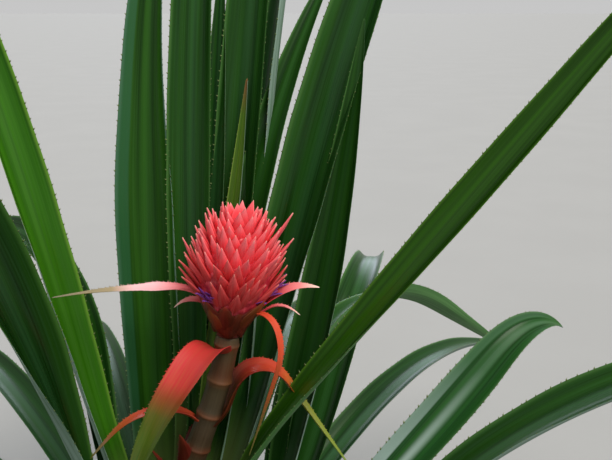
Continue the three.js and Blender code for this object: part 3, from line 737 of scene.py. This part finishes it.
def low_leaves():
    """The low leaves' sizes: from the highest foot to the lowest they spread further and grow longer."""
    leaves = []
    for i, (foot, heading) in enumerate(LOW_LEAVES["places"]):
        down = (LOW_LEAVES["highest"] - foot) / (LOW_LEAVES["highest"] - LOW_LEAVES["lowest"])
        risen = mix(*LOW_LEAVES["risen_lean"], down)
        leans = (risen - mix(*LOW_LEAVES["foot_rise"], down), risen, mix(*LOW_LEAVES["tip_lean"], down))
        leaves.append(dict(
            name=f"low_leaf_{i + 1}", foot=foot, heading=heading, leans=leans, arch=LOW_LEAVES["arch"],
            length=mix(*LOW_LEAVES["length"], down), width=mix(*LOW_LEAVES["width"], down), look="old",
        ))
    return leaves


for number, sizes in enumerate(STANDING_LEAVES + low_leaves()):
    leaf = {**LEAF, **sizes}
    depth = min(LEAF_FOOT_RADIUS, LEAF_FOOT_SHARE * float(stem_radius(leaf["foot"])))
    leaf["root"] = direction(leaf["heading"], 90) * depth + (0, 0, leaf["foot"])
    leaf["sheath"] = min(LEAF_SHEATH, LEAF_SHEATH_SHARE * leaf["width"])
    leaf["foot_mark"] = LEAF_APART * number
    back = LEAF_BACKS[leaf.get("back", "old" if leaf["look"] == "old" else "mature")]
    add_blade(leaf, LEAF_MESH, [LEAF_FACES[leaf["look"]], back, TOOTH])

for number, sizes in enumerate(STALK_BRACTS):
    bract = {**STALK_BRACT, **sizes}
    line, _ = stalk_line(bract["at"])
    bract["root"] = line[0] + direction(bract["heading"], 90) * STALK_BRACT_ROOT_DEPTH
    bract["sheath"] = min(STALK_BRACT_SHEATH, bract["width"])
    bract["foot_mark"] = BRACT_APART * number
    add_blade(bract, STALK_BRACT_MESH, [BRACT_SKINS[bract["look"]]] * 3)


def head_blade(z, heading, sizes, root_depth):
    """A blade that grows from the head's core, in the head's own frame."""
    depth = max(0.0, float(core_radius(z)) - root_depth)
    root = direction(heading, 90) * depth + (0, 0, z)
    return dict(heading=heading, root=root, sheath=HEAD_SHEATH_SHARE * sizes["width"], foot_mark=0, **sizes)


for number, sizes in enumerate(COLLAR_BRACTS):
    sizes = {**COLLAR_BRACT, **sizes}
    bract = head_blade(sizes.pop("height"), sizes.pop("heading"), sizes, sizes["root_depth"])
    bract["foot_mark"] = BRACT_APART * number
    part, frames = blade_part(bract, COLLAR_BRACT_MESH, upper=0, under=1)
    whole = joined([part, *tooth_parts(bract, frames, 2)])
    whole["points"] = from_head(whole["points"])
    add_piece(bract["name"] + "_blade", whole, [BRACT_SKINS[bract["look"]]] * 3, [bract["name"]])


# Head

def head_bract_sizes():
    """The scales of the head on the golden spiral: lower ones spread wide, and upper ones stand up and are
    shorter and narrower. Each differs a little from the rule, and a flower keeps its place clear of them."""
    chance = np.random.default_rng(HEAD_BRACTS["seed"])
    scales = []
    for number in range(HEAD_BRACTS["count"]):
        up = number / (HEAD_BRACTS["count"] - 1)
        turned, leaned, stretched, curled = chance.uniform(-1, 1, 4)
        z = mix(HEAD_BRACTS["lowest"], HEAD_BRACTS["highest"], up)
        heading = number * GOLDEN_ANGLE + HEAD_BRACTS["heading_play"] * turned
        lean = mix(*HEAD_BRACTS["leans"], up ** HEAD_BRACTS["lean_curve"]) + HEAD_BRACTS["lean_play"] * leaned
        length = mix(*HEAD_BRACTS["lengths"], up) * (1 + HEAD_BRACTS["length_play"] * stretched)
        tip_lean = lean * mix(*HEAD_BRACTS["tip_lean"], (curled + 1) / 2)
        sizes = dict(HEAD_BRACT, leans=(lean, lean, tip_lean), length=length,
                     width=mix(*HEAD_BRACTS["widths"], up))
        if not any(beside_flower(z, heading, flower) for flower in FLOWERS["places"]):
            scales.append((z, heading, up, sizes))
    for z, heading, length, lean in LONG_SCALES:
        sizes = dict(HEAD_BRACT, leans=(lean, lean, lean), length=length, width=LONG_SCALE_WIDTH)
        scales.append((z, heading, 1, sizes))
    return scales


def beside_flower(z, heading, flower):
    """Whether a scale at that height and heading would cover that flower."""
    lowest, highest = FLOWERS["clear_height"]
    apart = (heading - flower[1] + 180) % 360 - 180
    return abs(apart) < FLOWERS["clear_heading"] and lowest < z - flower[0] < highest


def head_bract_part(z, heading, up, sizes):
    """A scale of the head, in the tone of its share of the way up: lower scales get darker reds, painted shade
    under the dome that the light from above does not reach.
    """
    tone = sum(up >= start for start in HEAD_BRACTS["painted_shade_steps"])
    blade = head_blade(z, heading, sizes, HEAD_BRACTS["root_depth"])
    return blade_part(blade, SCALE_MESH, upper=tone, under=tone)[0]


def funnel_bract_parts():
    """The bracts that lie against the head's foot and form a funnel, each a little longer or shorter than the
    next, and the broad ones that stand above its rim."""
    chance = np.random.default_rng(FUNNEL_BRACTS["seed"])
    parts = []
    for number in range(FUNNEL_BRACTS["count"]):
        up = number / (FUNNEL_BRACTS["count"] - 1)
        z = mix(FUNNEL_BRACTS["lowest"], FUNNEL_BRACTS["highest"], up)
        lean = mix(*FUNNEL_BRACTS["leans"], up)
        length = mix(*FUNNEL_BRACTS["lengths"], up) * (1 + FUNNEL_BRACTS["play"] * chance.uniform(-1, 1))
        heading = number * GOLDEN_ANGLE
        parts.append(funnel_bract_part(z, heading, length, lean, FUNNEL_BRACTS["width"], FUNNEL_TONE))
    return parts + [funnel_bract_part(*place, BROAD_TONE) for place in BROAD_BRACTS]


def funnel_bract_part(z, heading, length, lean, width, tone):
    """A bract of the funnel, in that tone, whose tip curls in a little."""
    leans = (lean, lean, lean - FUNNEL_BRACTS["curl"])
    sizes = dict(FUNNEL_BRACT, leans=leans, length=length, width=width)
    blade = head_blade(z, heading, sizes, FUNNEL_BRACTS["root_depth"])
    return blade_part(blade, FUNNEL_MESH, upper=tone, under=tone)[0]


scales = [head_bract_part(*scale) for scale in head_bract_sizes()]
head_bracts = joined(scales + funnel_bract_parts())
head_bracts["points"] = from_head(head_bracts["points"])
add_piece("head_bracts", head_bracts, HEAD_SKINS, ["head"])


def core_part():
    """The fleshy core: its outline turned round the axis, drawn in under the funnel, with a low swelling at
    each bract's foot, which falls off as a bell curve."""
    z = np.linspace(CORE["first"], HEAD["height"] - CORE["last"], CORE["stations"])
    turn = np.linspace(0, 2 * np.pi, CORE["columns"], endpoint=False)
    number = np.arange(HEAD_BRACTS["count"])[:, None, None]
    site_z = mix(HEAD_BRACTS["lowest"], HEAD_BRACTS["highest"], number / (HEAD_BRACTS["count"] - 1))
    apart = (turn[None, None] + np.radians(number * GOLDEN_ANGLE) + np.pi) % (2 * np.pi) - np.pi
    drawn_in = CORE["drawn_in"] * (1 - smooth((z - CORE["drawn_in_below"]) / CORE["drawn_in_over"]))
    radius = (core_radius(z) - drawn_in)[:, None]
    distance = (apart * radius) ** 2 + (z[None, :, None] - site_z - CORE["swelling_up"]) ** 2
    swelling = CORE["swelling"] * np.exp(-distance / (2 * CORE["swelling_radius"] ** 2)).max(axis=0)
    swelling = swelling * np.minimum(1, radius / CORE["full_swelling_radius"])
    return upright_part(z, np.maximum(radius + swelling, CORE["least_radius"]))


core = core_part()
core["points"] = from_head(core["points"])
add_piece("head_core", core, [FRUITLET], ["head"])


def flower_parts(z, heading, length, lean):
    """An open flower: three petals round one axis, which part and curl outward at their tips."""
    parts = []
    for petal in range(FLOWERS["petals"]):
        turn = radians(360 / FLOWERS["petals"] * petal + FLOWERS["first_petal"])
        sideways, rise = FLOWERS["spread"] * sin(turn), FLOWERS["spread"] * cos(turn)
        sizes = dict(FLOWER_PETAL, leans=(lean, lean, lean - FLOWERS["curl"] * rise), length=length)
        root_z = z + FLOWERS["rise"] * rise
        blade = head_blade(root_z, heading + sideways, sizes, HEAD_BRACTS["root_depth"])
        parts.append(blade_part(blade, PETAL_MESH)[0])
    return parts


petals = joined([part for place in FLOWERS["places"] for part in flower_parts(*place)])
petals["points"] = from_head(petals["points"])
add_piece("flowers", petals, [PETAL], ["head"])


# Stalk and stem

def stalk_part():
    """The stalk: a ringed tube along its line, swollen at its nodes by a high power of a cosine, with a thin
    rim at each by a higher one, and fine ribs between."""
    shares = np.linspace(0, 1, STALK["stations"])
    line, ahead = stalk_line(shares)
    side = np.stack([ahead[:, 2], 0 * shares, -ahead[:, 0]], axis=-1)
    wave = np.cos(np.pi * (shares - STALK["ring_at"]) * STALK["rings"])
    rim = wave ** STALK["rim_power"]
    radius = mix(STALK["foot_radius"], STALK["top_radius"], shares) + STALK["rim"] * rim
    radius = radius + STALK["ring_swell"] * wave ** STALK["swell_power"]
    turn = np.linspace(0, 2 * np.pi, STALK["columns"], endpoint=False)
    ribs = STALK["rib_height"] * np.cos(STALK["ribs"] * turn)[None] * (1 - rim)[:, None]
    return turned_part(line, ahead, side, radius[:, None] + ribs)


add_piece("ringed_stalk", stalk_part(), [STALK_SKIN], ["stalk"])


def stem_part():
    """The stem: its outline turned round the axis, with wavy rings of leaf scars, as the size of a sine."""
    z = np.linspace(0, STEM["height"], STEM["stations"])
    turn = np.linspace(0, 2 * np.pi, STEM["columns"], endpoint=False)
    wavy = STEM["scar_tilt"] * np.sin(STEM["scar_waves"] * turn)[None]
    scars = STEM["scar_depth"] * np.abs(np.sin(z[:, None] / STEM["scar_height"] + wavy))
    return upright_part(z, stem_radius(z)[:, None] - scars)


add_piece("scarred_stem", stem_part(), [STEM_SKIN], ["stem"])


# Floor, backdrop and light

# The floor reaches so many metres each way
FLOOR_REACH = 60.0
WORLD_STRENGTH = 0.61

corners = [(x * FLOOR_REACH, y * FLOOR_REACH, 0) for x, y in ((-1, -1), (1, -1), (1, 1), (-1, 1))]
floor_mesh = bpy.data.meshes.new("floor")
floor_mesh.from_pydata(corners, [], [(0, 1, 2, 3)])
floor = bpy.data.objects.new("floor", floor_mesh)
bpy.context.scene.collection.objects.link(floor)
floor_mesh.materials.append(plain_skin("matt studio floor", "#9f9f9d", "#a4a4a2", 0.9, 3.0))

world = bpy.data.worlds.new("studio")
world.use_nodes = True
background = world.node_tree.nodes["Background"]
background.inputs["Color"].default_value = linear("#f7f7f7")
background.inputs["Strength"].default_value = WORLD_STRENGTH
bpy.context.scene.world = world


def add_sky_light(name, comes_from, spread, strength, color):
    """A soft light from far away, as from an even patch of sky that is spread degrees wide."""
    data = bpy.data.lights.new(name, "SUN")
    data.angle = radians(spread)
    data.energy = strength
    data.color = linear(color)[:3]
    lamp = bpy.data.objects.new(name, data)
    lamp.rotation_euler = Vector(comes_from).to_track_quat("Z", "Y").to_euler()
    bpy.context.scene.collection.objects.link(lamp)


add_sky_light("key", (0.95, -1.1, 1.9), 34, 2.5, "#fff8ee")
add_sky_light("back", (-0.25, 1.9, 1.0), 40, 1.6, "#e4efff")
